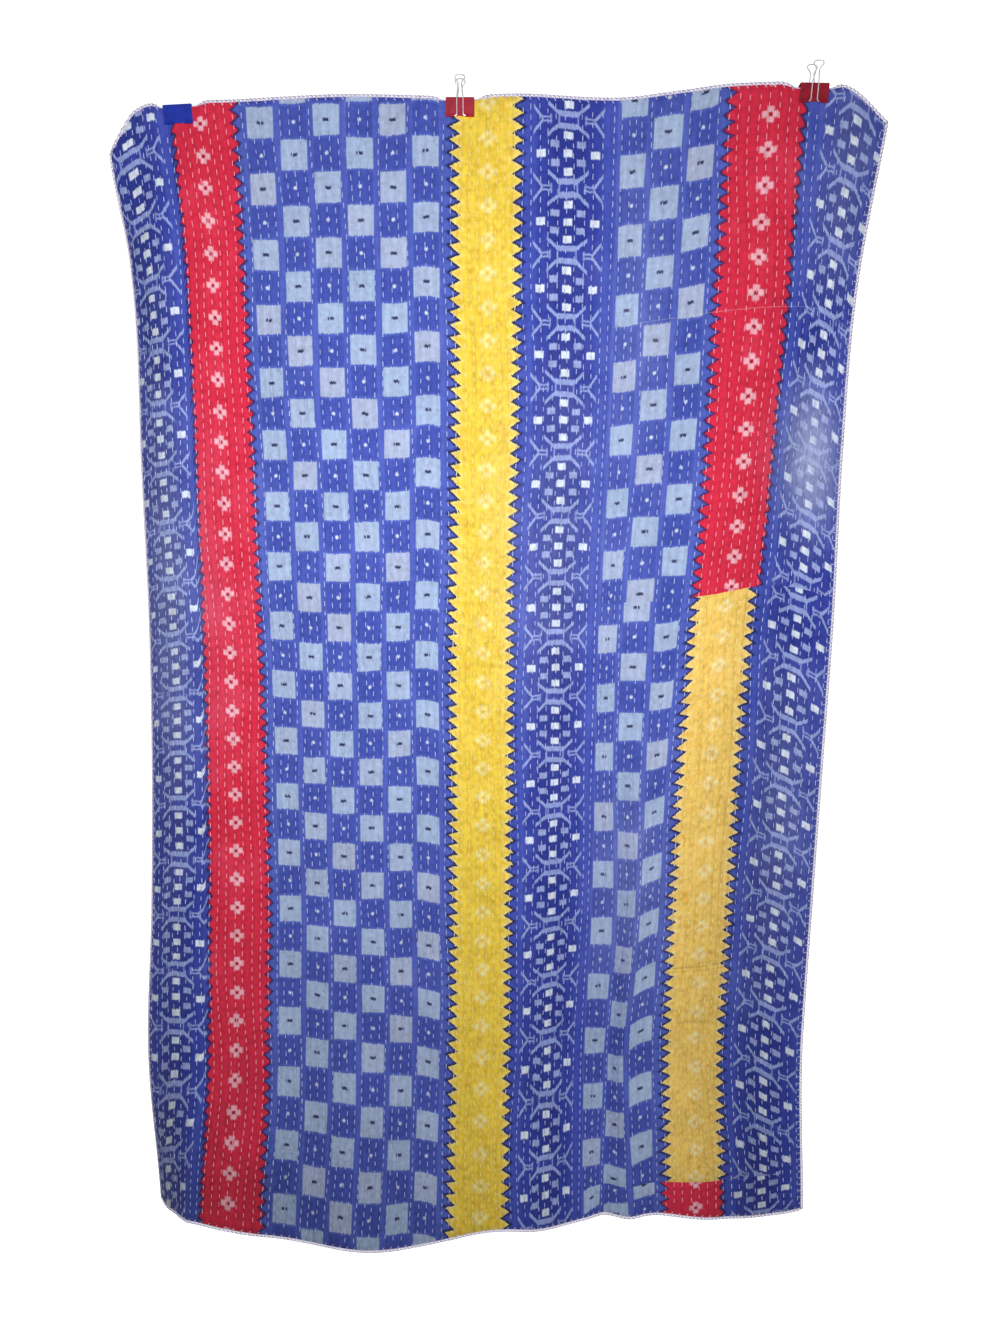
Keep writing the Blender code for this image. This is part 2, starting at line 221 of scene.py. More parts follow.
# how far the rows lean over near the top edge, and how they drift further down
rowLean = {"most": 0.024, "tall": 0.30, "from": 0.02, "full": 0.14, "eased": 0.65, "easeFrom": 0.30,
           "easeTo": 0.60, "straightAtEdge": 0.07}
rowWaves = ((0.0050, 7.0, 4.0, 0.0), (0.0030, 15.0, -9.0, 1.0))  # size, then down, across and shift
seamLine = 0.946  # the long seam between the two panels
allLines = sewn["leftLines"] + sewn["rightLines"]
chance = np.random.default_rng(7)
lineStart = chance.uniform(0.0, 1.0, allLines)  # where each row's dashes begin
# seams across the right panel: how far across, then how far down
upperSeam = ((0.946, 0.902), (1.080, 0.906), (1.180, 0.902), (1.256, 0.893), (1.415, 0.876))
footSeam = ((0.946, 2.096), (1.080, 2.092), (1.180, 2.083), (1.256, 2.079), (1.415, 2.072))
# faint creases across the right panel: how far down, and between which places across
creases = ((0.392, 1.03, 1.31), (1.6195, 1.13, 1.27), (1.6265, 1.13, 1.27), (1.7340, 1.13, 1.26))
clipBoxes = [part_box(side + "_clip_body") for side in ("left", "middle", "right")]
pressing = {"beside": (0.002, 0.022), "below": (0.001, 0.020)}  # how far off a clip its hold fades, m


def seamDown(seam, across):
    return np.interp(across, *zip(*seam))


def rowDrift(across, down):
    # how far the rows of stitches wander: they lean across the top, and drift a little all the way
    inside = np.minimum(np.minimum(across, np.abs(seamLine - across)), clothWide - across)
    lean = (1.0 - ease(0.0, rowLean["tall"], down)) * ease(rowLean["from"], rowLean["full"], across)
    lean *= 1.0 - rowLean["eased"] * ease(rowLean["easeFrom"], rowLean["easeTo"], across)
    drift = sum(high * np.sin(b * down + a * across + shift) for high, b, a, shift in rowWaves)
    return (drift - rowLean["most"] * lean) * ease(0.0, rowLean["straightAtEdge"], inside)


def besideRow(across, down):
    # which row of stitches is nearest, and how far off it is: 0 on the row, 1 between two
    place = across
    for _ in range(3):
        place = across - rowDrift(place, down)
    left = place / seamLine * sewn["leftLines"]
    right = (place - seamLine) / (clothWide - seamLine) * sewn["rightLines"]
    number = np.where(place < seamLine, left, sewn["leftLines"] + right)
    line = np.clip(np.floor(number), 0, allLines - 1).astype(int)
    return line, np.abs(number - line - 0.5) * 2.0


def acrossOfLine(number, down):
    left = number / sewn["leftLines"] * seamLine
    right = (number - sewn["leftLines"]) / sewn["rightLines"] * (clothWide - seamLine)
    place = np.where(number < sewn["leftLines"], left, seamLine + right)
    return place + rowDrift(place, down)


def dashCount(line, down):
    # whole numbers are the middles of a row's dashes
    return down / sewn["pitch"] + lineStart[line] + 0.25 * np.sin(5.0 * down + 2.1 * line)


def pressedByClips(middle):
    # 0 where a clip presses the cloth flat, 1 where the cloth is free
    free = np.ones(len(middle))
    for low, high in clipBoxes:
        beside = np.abs(middle[:, 0] - (low[0] + high[0]) / 2) - (high[0] - low[0]) / 2
        below = low[2] - middle[:, 2]
        free *= np.maximum(ease(*pressing["beside"], beside), ease(*pressing["below"], below))
    return free


def halfThickness(across, down, middle):
    line, away = besideRow(across, down)
    puffed = sewn["puff"] * np.sin(0.5 * math.pi * np.clip(away, 0, 1)) ** 0.8 - sewn["valley"]
    puffed -= sewn["ripple"] * (1.0 - away) * np.cos(2.0 * math.pi * dashCount(line, down))
    for share, *waves in puckers:
        first, second = (np.sin(a * across + b * down + shift) for a, b, shift in waves)
        puffed += sewn["uneven"] * share * first * second
    seams = [np.abs(across - seamLine)]
    right = across > seamLine
    seams += [np.where(right, np.abs(down - seamDown(seam, across)), 1.0) for seam in (upperSeam, footSeam)]
    for near in seams:
        puffed -= sewn["seamDip"] * (1.0 - ease(0.0, sewn["seamHalf"], near))
    fade = sewn["creaseFade"]
    for creaseDown, start, end in creases:
        within = ease(start, start + fade, across) * (1.0 - ease(end - fade, end, across))
        near = 1.0 - ease(0.0, sewn["seamHalf"], np.abs(down - creaseDown))
        puffed -= sewn["creaseDip"] * within * near
    puffed *= pressedByClips(middle)
    rim = np.minimum(np.minimum(across, clothWide - across), np.minimum(down, clothLong - down))
    thinned = np.sqrt(np.clip(rim / sewn["edgeThin"], 0.0, 1.0))
    return np.maximum(quilt["thick"] / 2 + puffed, sewn["leastHalf"]) * thinned


def surfaceOf(across, down, side):
    # side is 1 on the face and -1 on the back
    middle, right, up, out = clothFrame(across, down)
    half = halfThickness(across, down, middle)[:, None]
    return middle + side * half * out, right, up, side * out


def newPiece(name, points, faces, finish, smooth=True):
    mesh = bpy.data.meshes.new(name)
    mesh.from_pydata(points.tolist(), [], faces)
    mesh.update()
    mesh.materials.append(finish)
    if smooth:
        mesh.shade_smooth()
    piece = bpy.data.objects.new(name, mesh)
    bpy.context.scene.collection.objects.link(piece)
    return piece


def dressed(piece):
    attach(piece, "root")
    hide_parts("quilt")
    return piece


# ---- the printed sari cloth: each cut of it has its own place and stretch of the print
# how far down the rows of the print lie, on lines across the cloth
leftRows = ((0, 6, 12, 18, 24, 30, 34, 36), (
    (0.000, (0.020, 0.376, 0.742, 1.072, 1.405, 1.750, 2.046, 2.200)),
    (0.030, (0.038, 0.388, 0.746, 1.070, 1.402, 1.745, 2.040, 2.190)),
    (0.075, (0.072, 0.408, 0.744, 1.066, 1.391, 1.730, 2.021, 2.172)),
    (0.128, (0.076, 0.414, 0.745, 1.064, 1.390, 1.728, 2.004, 2.148)),
    (0.137, (0.076, 0.414, 0.745, 1.064, 1.390, 1.728, 2.000, 2.140)),
    (0.146, (0.035, 0.374, 0.711, 1.047, 1.374, 1.716, 1.975, 2.105)),
    (0.201, (0.035, 0.374, 0.711, 1.047, 1.374, 1.716, 1.975, 2.105)),
    (0.307, (0.038, 0.380, 0.715, 1.048, 1.375, 1.715, 1.972, 2.101)),
    (0.540, (0.038, 0.380, 0.715, 1.049, 1.376, 1.717, 1.972, 2.100)),
    (0.600, (0.033, 0.371, 0.710, 1.048, 1.380, 1.724, 1.980, 2.108)),
    (0.690, (0.040, 0.389, 0.735, 1.073, 1.403, 1.746, 2.022, 2.160)),
    (0.855, (0.037, 0.386, 0.735, 1.076, 1.406, 1.747, 2.019, 2.155)),
    (0.946, (0.040, 0.389, 0.737, 1.078, 1.408, 1.750, 2.022, 2.158)),
))
upperRows = ((1, 5, 9, 13, 17), (
    (0.946, (0.064, 0.307, 0.543, 0.774, 1.004)),
    (1.031, (0.064, 0.307, 0.543, 0.774, 1.004)),
    (1.089, (0.065, 0.305, 0.543, 0.776, 1.006)),
    (1.193, (0.050, 0.295, 0.539, 0.777, 1.000)),
    (1.260, (0.058, 0.305, 0.549, 0.785, 1.012)),
    (1.300, (0.075, 0.322, 0.566, 0.806, 1.036)),
    (1.345, (0.076, 0.327, 0.575, 0.812, 1.043)),
    (1.395, (0.068, 0.324, 0.580, 0.820, 1.052)),
    (1.415, (0.064, 0.322, 0.582, 0.823, 1.056)),
))
middleRows = ((2, 6, 10, 14, 18, 22), (
    (0.946, (0.914, 1.141, 1.373, 1.601, 1.832, 2.080)),
    (1.031, (0.914, 1.141, 1.373, 1.601, 1.832, 2.080)),
    (1.089, (0.917, 1.143, 1.362, 1.579, 1.805, 2.070)),
    (1.187, (0.900, 1.121, 1.346, 1.567, 1.797, 2.040)),
    (1.260, (0.897, 1.124, 1.351, 1.577, 1.810, 2.056)),
    (1.295, (0.905, 1.136, 1.363, 1.587, 1.817, 2.070)),
    (1.345, (0.912, 1.142, 1.372, 1.600, 1.842, 2.090)),
    (1.395, (0.917, 1.155, 1.384, 1.615, 1.855, 2.106)),
    (1.415, (0.919, 1.159, 1.388, 1.621, 1.860, 2.112)),
))
footRows = ((-2, 0, 2), (
    (0.946, (2.016, 2.128, 2.240)),
    (1.031, (1.991, 2.103, 2.215)),
    (1.089, (1.980, 2.092, 2.204)),
    (1.187, (1.971, 2.083, 2.195)),
    (1.260, (1.948, 2.060, 2.172)),
    (1.415, (1.932, 2.044, 2.156)),
))
# across the cut, then across the print
leftLayout = ((0.000, 0.000), (0.946, 0.946))
upperLayout = ((0.946, 0.4510), (1.135, 0.2620), (1.259, 0.1500), (1.415, 0.0000))
middleLayout = ((0.946, 0.4570), (1.133, 0.6460), (1.249, 0.7640), (1.415, 0.9200))
footLayout = ((0.946, 0.4510), (1.131, 0.2620), (1.245, 0.1500), (1.415, 0.0000))


def printOver(across, down):
    # place across the print, in mm, anywhere on the quilt's face
    over = np.interp(across, *zip(*leftLayout))
    for layout, top in ((upperLayout, None), (middleLayout, upperSeam), (footLayout, footSeam)):
        inside = across > seamLine
        if top:
            inside &= down > seamDown(top, across)
        over = np.where(inside, np.interp(across, *zip(*layout)), over)
    return over * 1000.0


def stripOffset(across, down, strips):
    # how far each point is from the nearest strip's middle line, in mm on the flat print
    gaps = []
    for levels, middles, leftStretch in strips:
        gap = across - np.interp(down, levels, middles)
        gaps.append(np.where(gap < 0.0, gap / leftStretch, gap))
    gaps = np.stack(gaps)
    return gaps[np.argmin(np.abs(gaps), axis=0), np.arange(across.size)] * 1000.0


# soft patches: across and down to the middle, half width, half height, how faded (below 0: how deep the
# painted shade there is)
fadedAndShadedPatches = (
    (1.345, 0.640, 0.062, 0.110, 0.68), (0.070, 0.900, 0.070, 0.400, 0.22),
    (1.030, 1.450, 0.090, 0.220, 0.14), (0.840, 0.800, 0.130, 0.320, 0.12),
    (1.000, 0.350, 0.070, 0.300, 0.08), (0.210, 0.860, 0.090, 0.300, 0.04),
    (1.360, 0.120, 0.070, 0.240, 0.15), (1.345, 1.350, 0.080, 0.300, 0.14),
    # these two darken the foot of the cloth: painted shade
    (0.240, 2.120, 0.420, 0.200, -0.24), (1.330, 2.080, 0.130, 0.220, -0.14),
)


def fadeAndShadeShare(across, down):
    return sum(most * np.exp(-((across - a) / wide) ** 2 - ((down - b) / tall) ** 2)
               for a, b, wide, tall, most in fadedAndShadedPatches)


def giveValues(piece, name, columns):
    # three values at each point, which the finishes read
    values = piece.data.attributes.new(name, "FLOAT_VECTOR", "POINT")
    values.data.foreach_set("vector", np.stack(columns, axis=-1).astype(np.float32).ravel())


def layPrint(piece, across, down, rows, layout, strips):
    # print: place across it in mm, row, distance from a strip in mm; wear and painted shade: fading,
    # which below 0 is painted shade at the foot, place between two rows of stitches, which also sets
    # the painted shade along the rows, distance down
    rowLevels, lines = rows
    values = [smoothThrough(downs, rowLevels, down) for _, downs in lines]
    row = smoothThrough([line[0] for line in lines], values, across)
    over = np.interp(across, *zip(*layout)) * 1000.0
    giveValues(piece, "print", (over, row, stripOffset(across, down, strips)))
    giveValues(piece, "wearAndShade", (fadeAndShadeShare(across, down), besideRow(across, down)[1], down))


def clothGrid(name, lines, tops, feet, rows, side, finish):
    # a sheet between two edges, on the cloth's face or back
    share = np.linspace(0.0, 1.0, rows + 1)[:, None]
    down = (tops[None, :] * (1.0 - share) + feet[None, :] * share).ravel()
    across = np.tile(lines, rows + 1)
    across = across + rowDrift(across, down)
    wide = len(lines)
    corner = (np.arange(rows)[:, None] * wide + np.arange(wide - 1)[None, :]).ravel()
    order = (0, wide, wide + 1, 1) if side > 0 else (0, 1, wide + 1, wide)
    faces = np.stack([corner + step for step in order], axis=-1)
    points = surfaceOf(across, down, side)[0]
    return newPiece(name, points, faces.tolist(), finish), across, down


# ---- shader sums: a value in a material, written as an ordinary expression
class Shade:
    def __init__(self, tree, socket):
        self.tree = tree
        self.socket = socket

    def make(self, kind, settings, values, output=0):
        node = self.tree.nodes.new(kind)
        for name, value in settings.items():
            setattr(node, name, value)
        for name, value in values.items():
            if isinstance(value, Shade):
                self.tree.links.new(value.socket, node.inputs[name])
            else:
                node.inputs[name].default_value = value
        return Shade(self.tree, node.outputs[output])

    def sum(self, operation, *values, clamp=False):
        return self.make("ShaderNodeMath", {"operation": operation, "use_clamp": clamp},
                         dict(enumerate(values)))

    def __add__(self, other):
        return self.sum("ADD", self, other)

    __radd__ = __add__

    def __sub__(self, other):
        return self.sum("SUBTRACT", self, other)

    def __rsub__(self, other):
        return self.sum("SUBTRACT", other, self)

    def __mul__(self, other):
        return self.sum("MULTIPLY", self, other)

    __rmul__ = __mul__

    def __truediv__(self, other):
        return self.sum("DIVIDE", self, other)

    def __abs__(self):
        return self.sum("ABSOLUTE", self)

    def part(self):
        return self.sum("FRACT", self)

    def whole(self):
        return self.sum("FLOOR", self)

    def least(self, other):
        return self.sum("MINIMUM", self, other)

    def most(self, other):
        return self.sum("MAXIMUM", self, other)

    def under(self, limit, soft):
        # 1 where the value is below the limit, with a soft edge
        return self.sum("MULTIPLY_ADD", limit - self, 1.0 / soft, 0.5, clamp=True)

    def over(self, limit, soft):
        return self.sum("MULTIPLY_ADD", self - limit, 1.0 / soft, 0.5, clamp=True)

    def noise(self, vector, scale, detail=1.0):
        return self.make("ShaderNodeTexNoise", {"noise_dimensions": "3D"},
                         {"Vector": vector, "Scale": scale, "Detail": detail})

    def vector(self, x, y, z):
        return self.make("ShaderNodeCombineXYZ", {}, {0: x, 1: y, 2: z})

    def between(self, first, second):
        # the colour that lies this share of the way from one colour to another
        return self.make("ShaderNodeMix", {"data_type": "RGBA"}, {0: self, 6: first, 7: second}, output=2)

    def dyed(self, share, colour):
        # this colour, taken towards another by a share
        return share.between(self, colour)

    def toned(self, factor):
        # this colour made lighter or darker by a factor
        return self.make("ShaderNodeVectorMath", {"operation": "SCALE"}, {0: self, 3: factor})

    def into(self, shader, name):
        self.tree.links.new(self.socket, shader.inputs[name])


def dye(red, green, blue):
    # a colour from its usual 0 to 255 values
    def light(value):
        value = value / 255.0
        return value / 12.92 if value <= 0.04045 else ((value + 0.055) / 1.055) ** 2.4
    return (light(red), light(green), light(blue), 1.0)


def newFinish(name, settings):
    finish = bpy.data.materials.new(name)
    finish.use_nodes = True
    shader = finish.node_tree.nodes["Principled BSDF"]
    for socket, value in settings.items():
        shader.inputs[socket].default_value = value
    return finish, shader, finish.node_tree


def attributeOf(tree, name):
    node = tree.nodes.new("ShaderNodeAttribute")
    node.attribute_name = name
    split = tree.nodes.new("ShaderNodeSeparateXYZ")
    tree.links.new(node.outputs["Vector"], split.inputs[0])
    return [Shade(tree, split.outputs[k]) for k in range(3)]


sariPrint = {  # sizes in mm on the flat print
    "rowPitch": 56.0, "edge": 1.9, "feather": 3.4, "wander": 3.0, "stripWander": 4.0, "rowWander": 0.10,
    "checkStart": 278.0, "checkEnd": 626.0, "checkPitch": 58.0, "squareHalf": 23.0, "squareTall": 26.0,
    "dashHalf": 5.8, "dashTall": 2.8, "dotReachSquared": 10.0,
    "redLeft": 150.0, "redRight": 262.0, "redFlower": 201.0, "redPetals": 12.6, "redEdge": 3.4,
    "yellowLeft": 646.0, "yellowRight": 764.0, "yellowFlower": 708.0, "yellowPetals": 15.0,
    "yellowTooth": 20.0, "teethPerRow": 2.5, "toothOut": 0.35,
    "stripReach": 90.0, "stripCore": 60.0, "heartReach": 36.0, "heartTall": 42.0, "slantHalf": 3.6,
}
# blocks of a strip, mm: middle and half size across it, then middle and half size from the row
stripBlocks = {
    "bar": (0.0, 18.5, 10.5, 4.8), "rail": (17.2, 1.4, 0.0, 10.0), "stem": (39.0, 9.0, 3.4, 1.5),
    "tick": (32.0, 1.6, 0.0, 8.0), "square": (0.0, 8.2, 0.0, 6.2), "farSquare": (0.0, 8.2, 30.0, 6.2),
    "outerSquare": (50.5, 8.4, 0.0, 6.3), "paleSquare": (24.5, 8.0, 15.0, 5.6),
}
stripSlants = {"arm": (0.83, 4.4, 16.5, 38.0), "fork": (1.15, 53.0, 46.5, 65.0)}  # slope, start, from, to
# how strongly each cause lightens or darkens the dyes; the entries for the rows of stitches and for wrinkles
# are painted shade
ageAndShade = {"mottle": 0.46, "warp": 0.36, "weft": 0.30, "patch": 0.36, "rowValleyShade": 0.14, "wrinkleShade": 0.10,
       "base": 0.94, "worn": 0.16}
paleLine = {"down": 375.0, "slope": 0.045, "half": 0.8, "share": 0.16}  # mm
mustardCreaseShade = ((1619.5, 0.26), (1627.5, 0.22), (1734.0, 0.14))  # mm down, how deep the painted shade in the crease is
weave = {"bump": 0.35, "bumpDeep": 0.0008}
sariLook = {"Roughness": 0.88, "Specular IOR Level": 0.08, "Sheen Weight": 0.04}
liningLook = {"Roughness": 0.9, "Specular IOR Level": 0.08}
threadLook = {"Roughness": 0.75}
dyes = {
    "ground": dye(82, 99, 193), "deep": dye(69, 85, 180), "stripSide": dye(68, 84, 186),
    "stripGround": dye(54, 68, 168), "stripDeep": dye(42, 54, 146),
    "light": dye(169, 190, 225), "blush": dye(175, 187, 219), "mark": dye(52, 56, 96),
    "bright": dye(228, 238, 255), "stroke": dye(152, 168, 226), "half": dye(158, 172, 226),
    "red": dye(222, 44, 74), "spike": dye(50, 16, 66), "redPetal": dye(250, 186, 200),
    "redHeart": dye(168, 14, 44), "navy": dye(34, 36, 88), "yellow": dye(249, 216, 76),
    "yellowPetal": dye(255, 240, 160), "amber": dye(226, 168, 40), "worn": dye(186, 196, 236),
}


def uneven(x, y, layer, detail=1.0, scale=1.0):
    # soft unevenness over two values, from its own layer of noise
    return x.noise(x.vector(x, y, layer), scale, detail)


def stripsOf(colours, across, evenRow, oddRow):
    # bars with flaring arms and forked twigs on even rows, little squares on odd ones
    size, soft = sariPrint, sariPrint["edge"]

    def block(name, row):
        at, half, rowAt, rowHalf = stripBlocks[name]
        return abs(across - at).under(half, soft) * abs(row - rowAt).under(rowHalf, soft)

    def slant(name):
        slope, start, near, far = stripSlants[name]
        line = abs(evenRow - (across * slope - start)).under(size["slantHalf"], soft)
        return line * across.over(near, soft) * across.under(far, soft)

    colour = across.under(size["stripReach"], 4.0).between(colours["ground"], colours["stripSide"])
    colour = colour.dyed(across.under(size["stripCore"], 12.0), colours["stripGround"])
    heart = across.under(size["heartReach"], 8.0) * oddRow.under(size["heartTall"], 10.0)
    colour = colour.dyed(heart * 0.7, colours["stripDeep"])
    faint = block("rail", evenRow).most(block("tick", evenRow)) * 0.8
    stroke = block("bar", evenRow).most(block("stem", evenRow)).most(slant("arm")).most(slant("fork"))
    colour = colour.dyed(stroke.most(faint), colours["stroke"])
    colour = colour.dyed(block("paleSquare", oddRow), colours["half"])
    bright = block("square", oddRow).most(block("farSquare", oddRow)).most(block("outerSquare", oddRow))
    return colour.dyed(bright, colours["bright"])


def withChecks(colour, colours, over, row):
    # light squares and deep blue ones in turn, with a dash or a dot in each
    size, pitch, soft = sariPrint, sariPrint["rowPitch"], sariPrint["edge"]
    inside = over.over(size["checkStart"], 1.0) * over.under(size["checkEnd"], 1.0)
    step = (over - size["checkStart"]) / size["checkPitch"]
    column = step.whole()
    turn = (row - column) * 0.5 + 0.5
    inColumn = abs(step.part() - 0.5) * size["checkPitch"]
    inRow = abs((turn.part() - 0.5) * (2.0 * pitch))
    square = inColumn.under(size["squareHalf"], soft) * inside
    light, deep = inRow.under(size["squareTall"], soft), inRow.over(pitch - size["squareTall"], soft)
    cell = uneven(column * 7.31, turn.whole() * 5.17, 0.0, 0.0, 3.0)
    dash = inColumn.under(size["dashHalf"], 3.0) * inRow.under(size["dashTall"], 2.2)
    dot = inColumn * inColumn + (pitch - inRow) * (pitch - inRow)
    colour = colour.dyed(square * deep, colours["deep"])
    colour = colour.dyed(square * light, cell.over(0.55, 0.20).between(colours["light"], colours["blush"]))
    colour = colour.dyed(dash * inside, colours["mark"])
    return colour.dyed(dot.under(size["dotReachSquared"], 16.0) * inside * 0.85, colours["bright"])


def toothed(row):
    # 1 at the tip of each blue point that cuts into a band, 0 halfway between two
    return abs((row * sariPrint["teethPerRow"]).part() - 0.5) * 2.0


def bandOf(over, left, right, tooth, leftDeep, rightDeep):
    # how far the point is inside the band, whose edges are cut by teeth
    out = sariPrint["toothOut"]
    fromLeft = over - left - (tooth * leftDeep - leftDeep * out)
    return fromLeft.least(right - over - (tooth * rightDeep - rightDeep * out))


def flowerOf(over, centre, along, wide, soft):
    # four square petals round a small heart
    a, b = abs(over - centre), abs(along)
    far, near = a.most(b), a.least(b)
    petal = abs(far - wide * 0.62).under(wide * 0.38, soft) * near.under(wide * 0.40, soft)
    return petal, far.under(wide * 0.22, soft * 0.8)


def withRedBand(colour, colours, over, row, spikes):
    size, pitch = sariPrint, sariPrint["rowPitch"]
    leftDeep, rightDeep, slender, slant = spikes
    tooth = toothed(row + (over - size["redFlower"]) * (slant / pitch))
    tooth = tooth.sum("POWER", tooth, slender)
    toRed = bandOf(over, size["redLeft"], size["redRight"], tooth, leftDeep, rightDeep)
    onRow = ((row + 0.5).part() - 0.5) * pitch
    petal, middle = flowerOf(over, size["redFlower"], onRow, size["redPetals"], 3.0)
    red = petal.between(colours["red"], colours["redPetal"]).dyed(middle, colours["redHeart"])
    colour = colour.dyed(toRed.over(-5.5, 7.0) * 0.95, colours["spike"])
    return colour.dyed(toRed.over(0.0, size["redEdge"]), red)


def withYellowBand(colour, colours, over, row):
    size = sariPrint
    deep = size["yellowTooth"]
    toYellow = bandOf(over, size["yellowLeft"], size["yellowRight"], toothed(row), deep, deep)
    offRow = (row.part() - 0.5) * size["rowPitch"]
    petal, middle = flowerOf(over, size["yellowFlower"], offRow * 1.2, size["yellowPetals"], 7.0)
    pale = petal.most(toYellow.under(6.0, 14.0) * 0.7)
    streak = uneven(over * 0.09, row * 1.9, 5.0, 2.0)
    yellow = pale.between(colours["yellow"], colours["yellowPetal"])
    yellow = yellow.dyed(streak.over(0.58, 0.24) * 0.45, colours["amber"])
    yellow = yellow.dyed(middle * 0.35, colours["amber"])
    colour = colour.dyed(toYellow.over(-8.0, 8.0), colours["navy"])
    return colour.dyed(toYellow.over(0.0, size["edge"]), yellow)


def agedAndShadedTone(over, row, away, warp, weft, patch):
    # slubby threads both ways, painted shade along faint wrinkles, and painted shade along the rows of
    # stitches, with the puffs between them lighter
    # painted shade: thin dark lines where faint wrinkles would be
    wrinkleShade = abs(uneven(over * 0.035, row * 1.3, 3.0) - 0.5).under(0.02, 0.05)
    mottle = uneven(over * 0.11, row * 6.0, 1.0)
    tone = (mottle - 0.5) * ageAndShade["mottle"] + (warp - 0.5) * ageAndShade["warp"] + (weft - 0.5) * ageAndShade["weft"]
    # painted shade: darker on the rows of stitches, lighter on the puffed cloth between them
    tone = tone + (patch - 0.5) * ageAndShade["patch"] + away * ageAndShade["rowValleyShade"]
    return tone - wrinkleShade * ageAndShade["wrinkleShade"] + ageAndShade["base"]


def finishCloth(shader, colour, height):
    colour.into(shader, "Base Color")
    settings = {"Strength": weave["bump"], "Distance": weave["bumpDeep"], "Height": height}
    height.make("ShaderNodeBump", {}, settings).into(shader, "Normal")


def makeSariFinish(name, change, spikes):
    # spikes: how deep the blue points cut the red band's two edges, how slender and how slanting they are
    colours = dict(dyes, **change)
    finish, shader, tree = newFinish(name, sariLook)
    over, row, fromStrip = attributeOf(tree, "print")
    fade, away, down = attributeOf(tree, "wearAndShade")
    size, pitch = sariPrint, sariPrint["rowPitch"]
    # tie-dyed edges feather along the warp, so each few threads start their colour early or late
    threads = uneven(over * 0.55, row * 0.7, 0.0)
    slack = uneven(over * 0.02, row * 0.6, 4.0, 0.0)
    row = row + (threads - 0.5) * (size["feather"] * 2.0 / pitch) + (slack - 0.5) * size["rowWander"]
    over = over + (slack - 0.5) * size["wander"]
    across = abs(fromStrip + (slack - 0.5) * size["stripWander"])
    evenRow = abs(((row * 0.5 + 0.5).part() - 0.5) * (2.0 * pitch))  # mm from the nearest even row

    colour = stripsOf(colours, across, evenRow, pitch - evenRow)
    colour = withChecks(colour, colours, over, row)
    colour = withRedBand(colour, colours, over, row, spikes)
    colour = withYellowBand(colour, colours, over, row)
    if "Upper" in name:
        # a thin straight pale line is painted across the upper right piece
        gap = abs(down * 1000.0 - over * paleLine["slope"] - paleLine["down"])
        near = gap.under(paleLine["half"], paleLine["half"])
        colour = colour.dyed(near * paleLine["share"], colours["bright"])

    warp = uneven(over * 0.9, row * 1.1, 9.0)
    weft = uneven(over * 0.02, row * 42.0, 2.0)
    patch = uneven(over * 0.012, row * 0.55, 6.0, 2.0)
    colour = colour.dyed(fade + (patch - 0.55) * ageAndShade["worn"], colours["worn"])
    # the patches below 0 add painted shade at the foot
    tone = agedAndShadedTone(over, row, away, warp, weft, patch) + fade.least(0.0)
    if "Middle" in name:
        # two sharp creases and a fainter one run across the mustard band, darkened with painted shade
        inBand = (over - size["yellowLeft"]).least(size["yellowRight"] - over).over(0.0, 12.0)
        for creaseDown, creaseShade in mustardCreaseShade:
            tone = tone - abs(down * 1000.0 - creaseDown).under(1.0, 2.6) * inBand * creaseShade
    finishCloth(shader, colour.toned(tone), (warp + weft) * 0.5 + away * 0.2)
    return finish


def makePlainCotton():
    # the lining side: plain faded blue cotton
    finish, shader, tree = newFinish("liningCotton", liningLook)
    across = attributeOf(tree, "print")[0]
    _, away, down = attributeOf(tree, "wearAndShade")
    warp = uneven(across * 0.9, down * 22.0, 1.0)
    weft = uneven(across * 0.02, down * 800.0, 2.0)
    patch = uneven(across * 0.008, down * 8.0, 6.0, 2.0)
    colour = patch.over(0.5, 0.9).between(dye(70, 84, 172), dye(98, 112, 192))
    # away adds painted shade: darker along the rows of stitches, lighter on the puffs between them
    tone = (warp - 0.5) * 0.28 + (weft - 0.5) * 0.22 + away * 0.12 + 0.92
    finishCloth(shader, colour.toned(tone), (warp + weft) * 0.5)
    return finish


def makeStitchFinish(name):
    # white thread, stained by the dye of the bands it runs through
    finish, shader, tree = newFinish(name, threadLook)
    over, row, _ = attributeOf(tree, "print")
    size = sariPrint
    patch = uneven(over * 0.5, row * 9.0, 0.0)
    inRed = (over - size["redLeft"]).least(size["redRight"] - over).over(0.0, 4.0)
    inYellow = (over - size["yellowLeft"]).least(size["yellowRight"] - over).over(4.0, 8.0)
    colour = patch.over(0.5, 0.5).between(dye(160, 174, 230), dye(198, 208, 244))
    colour = colour.dyed(inRed, dye(250, 158, 178)).dyed(inYellow, dye(255, 236, 158))
    colour.into(shader, "Base Color")
    return finish


def placeIn(tree):
    place = tree.nodes.new("ShaderNodeTexCoord")
    return Shade(tree, place.outputs["Object"])


def makeThreadFinish(name, pale, shaded, scale):
    finish, shader, tree = newFinish(name, threadLook)
    start = placeIn(tree)
    colour = start.noise(start, scale, 2.0).over(0.5, 0.5).between(shaded, pale)
    colour.into(shader, "Base Color")
    return finish


# ---- the cloth pieces
rowStep, backRows = 0.0054, 240
leftLines = np.linspace(0.0, seamLine, sewn["leftLines"] * 4 + 1)
rightLines = np.linspace(seamLine, clothWide, sewn["rightLines"] * 4 + 1)
